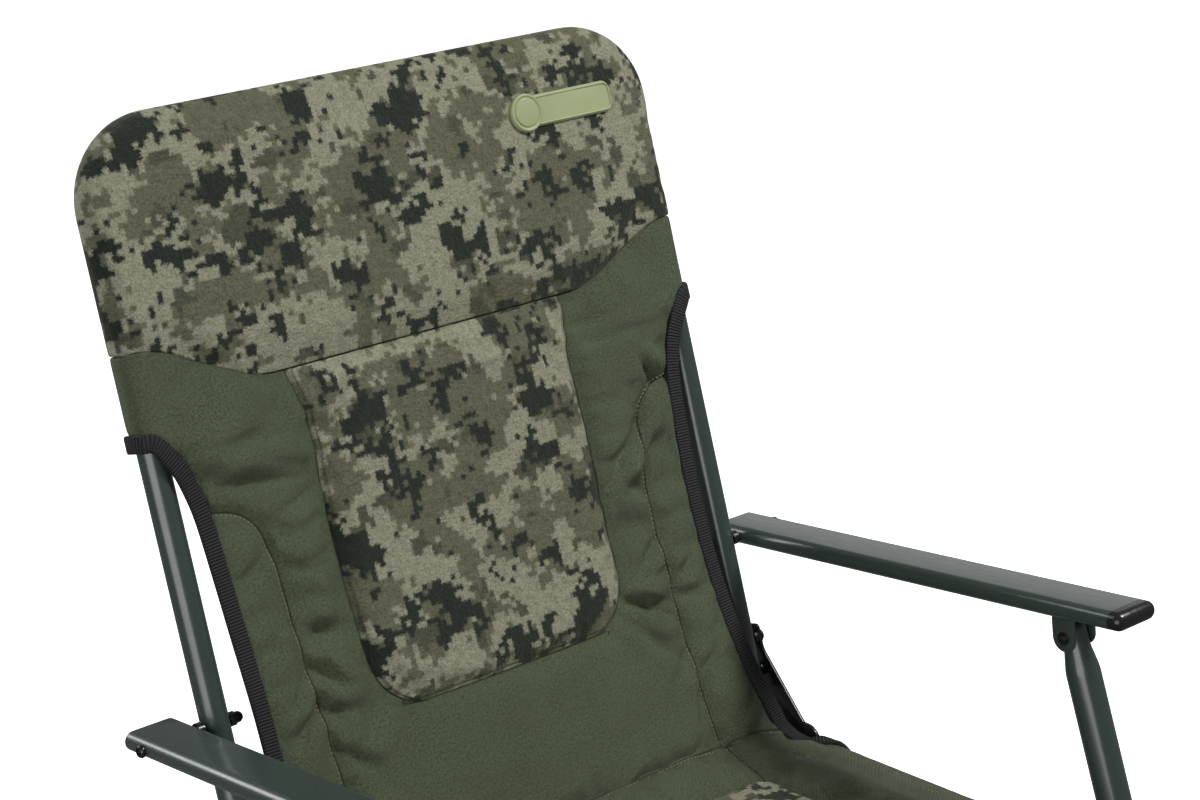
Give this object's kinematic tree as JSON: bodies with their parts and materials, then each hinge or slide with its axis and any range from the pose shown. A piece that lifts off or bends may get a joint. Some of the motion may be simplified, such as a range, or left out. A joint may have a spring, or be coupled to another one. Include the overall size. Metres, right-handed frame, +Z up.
{
  "type": "carp fishing chair",
  "caption": "Folding fishing chair with flat armrests, a quilted high back and seat, and telescopic legs on swivel feet.",
  "frame": {"origin": "on the floor, under the middle of the chair's outline", "axes": "+Z up, -Y the way the sitter faces, +X the sitter's left"},
  "size_m": [0.6398, 0.6998, 0.9465],
  "materials": {
    "frame_paint": "satin dark green-grey powder coat",
    "black_steel": "black coated steel",
    "black_plastic": "moulded black plastic",
    "cover_cloth": "woven olive green polyester",
    "camo_fleece": null,
    "black_webbing": "ribbed black binding tape",
    "badge_rubber": "matt pale green soft rubber"
  },
  "bodies": {
    "seat": {"seat_frame_tube": "frame_paint", "seat_pad": "cover_cloth", "hinge_bolt_left": "black_steel", "hinge_bolt_right": "black_steel", "front_leg_bolt_left": "black_steel", "front_leg_bolt_right": "black_steel", "rear_leg_bolt_left": "black_steel", "rear_leg_bolt_right": "black_steel"},
    "back": {"back_frame_tube": "frame_paint", "head_cover": "camo_fleece", "back_pad": "cover_cloth", "blank_badge": "badge_rubber", "back_binding_left": "black_webbing", "back_binding_right": "black_webbing", "hinge_plate_left": "black_steel", "hinge_plate_right": "black_steel", "plate_bolt_upper_left": "black_steel", "plate_bolt_lower_left": "black_steel", "plate_bolt_upper_right": "black_steel", "plate_bolt_lower_right": "black_steel"},
    "armrest_left": {"armrest_profile_left": "frame_paint", "armrest_cap_left": "black_plastic", "armrest_bracket_left": "frame_paint", "armrest_rivet_left": "black_steel", "armrest_bolt_left": "black_steel", "armrest_nut_left": "black_steel", "armrest_washer_left": "black_plastic"},
    "armrest_right": {"armrest_profile_right": "frame_paint", "armrest_cap_right": "black_plastic", "armrest_bracket_right": "frame_paint", "armrest_rivet_right": "black_steel", "armrest_bolt_right": "black_steel", "armrest_nut_right": "black_steel", "armrest_washer_right": "black_plastic"},
    "front_leg_left": {"front_leg_left": "frame_paint", "clamp_collar_front_left": "black_plastic"},
    "front_leg_right": {"front_leg_right": "frame_paint", "clamp_collar_front_right": "black_plastic"},
    "rear_legs": {"rear_leg_left": "frame_paint", "rear_leg_right": "frame_paint", "rear_crossbar": "frame_paint", "clamp_collar_rear_left": "black_plastic", "clamp_collar_rear_right": "black_plastic"},
    "inner_leg_front_left": {"inner_leg_front_left": "frame_paint"},
    "inner_leg_front_right": {"inner_leg_front_right": "frame_paint"},
    "inner_leg_rear_left": {"inner_leg_rear_left": "frame_paint"},
    "inner_leg_rear_right": {"inner_leg_rear_right": "frame_paint"},
    "clamp_knob_front_left": {"clamp_knob_front_left": "black_plastic"},
    "clamp_knob_front_right": {"clamp_knob_front_right": "black_plastic"},
    "clamp_knob_rear_left": {"clamp_knob_rear_left": "black_plastic"},
    "clamp_knob_rear_right": {"clamp_knob_rear_right": "black_plastic"},
    "foot_front_left": {"foot_front_left": "black_plastic"},
    "foot_front_right": {"foot_front_right": "black_plastic"},
    "foot_rear_left": {"foot_rear_left": "black_plastic"},
    "foot_rear_right": {"foot_rear_right": "black_plastic"}
  },
  "joints": [
    {"name": "back_fold", "type": "hinge", "parent": "seat", "child": "back", "pos_m": [0, 0.12315, 0.35197], "axis": [1, 0, 0], "range_deg": [0, 95]},
    {"name": "armrest_left_fold", "type": "hinge", "parent": "back", "child": "armrest_left", "pos_m": [0.29335, 0.21113, 0.512], "axis": [1, 0, 0], "range_deg": [-95, 0]},
    {"name": "armrest_right_fold", "type": "hinge", "parent": "back", "child": "armrest_right", "pos_m": [-0.29335, 0.21113, 0.512], "axis": [1, 0, 0], "range_deg": [-95, 0]},
    {"name": "front_leg_left_fold", "type": "hinge", "parent": "seat", "child": "front_leg_left", "pos_m": [0.29335, -0.23013, 0.36965], "axis": [1, 0, 0], "range_deg": [0, 95]},
    {"name": "front_leg_right_fold", "type": "hinge", "parent": "seat", "child": "front_leg_right", "pos_m": [-0.29335, -0.23013, 0.36965], "axis": [1, 0, 0], "range_deg": [0, 95]},
    {"name": "rear_leg_fold", "type": "hinge", "parent": "seat", "child": "rear_legs", "pos_m": [0, 0.16474, 0.32285], "axis": [-1, 0, 0], "range_deg": [0, 108]},
    {"name": "inner_leg_front_left_slide", "type": "slide", "parent": "front_leg_left", "child": "inner_leg_front_left", "axis": [0, -0.3355, -0.9421], "range_m": [0, 0.1]},
    {"name": "inner_leg_front_right_slide", "type": "slide", "parent": "front_leg_right", "child": "inner_leg_front_right", "axis": [0, -0.3355, -0.9421], "range_m": [0, 0.1]},
    {"name": "inner_leg_rear_left_slide", "type": "slide", "parent": "rear_legs", "child": "inner_leg_rear_left", "axis": [0, 0.4067, -0.9135], "range_m": [0, 0.1]},
    {"name": "inner_leg_rear_right_slide", "type": "slide", "parent": "rear_legs", "child": "inner_leg_rear_right", "axis": [0, 0.4067, -0.9135], "range_m": [0, 0.1]},
    {"name": "clamp_knob_front_left_turn", "type": "hinge", "parent": "front_leg_left", "child": "clamp_knob_front_left", "pos_m": [0.29335, -0.29173, 0.10961], "axis": [0, -0.9421, 0.3355], "range_deg": [0, 360]},
    {"name": "clamp_knob_front_right_turn", "type": "hinge", "parent": "front_leg_right", "child": "clamp_knob_front_right", "pos_m": [-0.29335, -0.29173, 0.10961], "axis": [0, -0.9421, 0.3355], "range_deg": [0, 360]},
    {"name": "clamp_knob_rear_left_turn", "type": "hinge", "parent": "rear_legs", "child": "clamp_knob_rear_left", "pos_m": [0.2288, 0.26086, 0.10696], "axis": [0, 0.9135, 0.4067], "range_deg": [0, 360]},
    {"name": "clamp_knob_rear_right_turn", "type": "hinge", "parent": "rear_legs", "child": "clamp_knob_rear_right", "pos_m": [-0.2288, 0.26086, 0.10696], "axis": [0, 0.9135, 0.4067], "range_deg": [0, 360]},
    {"name": "foot_front_left_tilt", "type": "hinge", "parent": "inner_leg_front_left", "child": "foot_front_left", "pos_m": [0.29335, -0.32292, 0.022], "axis": [1, 0, 0], "range_deg": [-20, 20]},
    {"name": "foot_front_right_tilt", "type": "hinge", "parent": "inner_leg_front_right", "child": "foot_front_right", "pos_m": [-0.29335, -0.32292, 0.022], "axis": [1, 0, 0], "range_deg": [-20, 20]},
    {"name": "foot_rear_left_tilt", "type": "hinge", "parent": "inner_leg_rear_left", "child": "foot_rear_left", "pos_m": [0.2288, 0.29869, 0.022], "axis": [1, 0, 0], "range_deg": [-20, 20]},
    {"name": "foot_rear_right_tilt", "type": "hinge", "parent": "inner_leg_rear_right", "child": "foot_rear_right", "pos_m": [-0.2288, 0.29869, 0.022], "axis": [1, 0, 0], "range_deg": [-20, 20]}
  ],
  "couplings": [
    {"joint": "armrest_left_fold", "follows": "back_fold", "ratio": -1},
    {"joint": "armrest_right_fold", "follows": "back_fold", "ratio": -1},
    {"joint": "front_leg_left_fold", "follows": "back_fold", "ratio": 1},
    {"joint": "front_leg_right_fold", "follows": "back_fold", "ratio": 1}
  ]
}
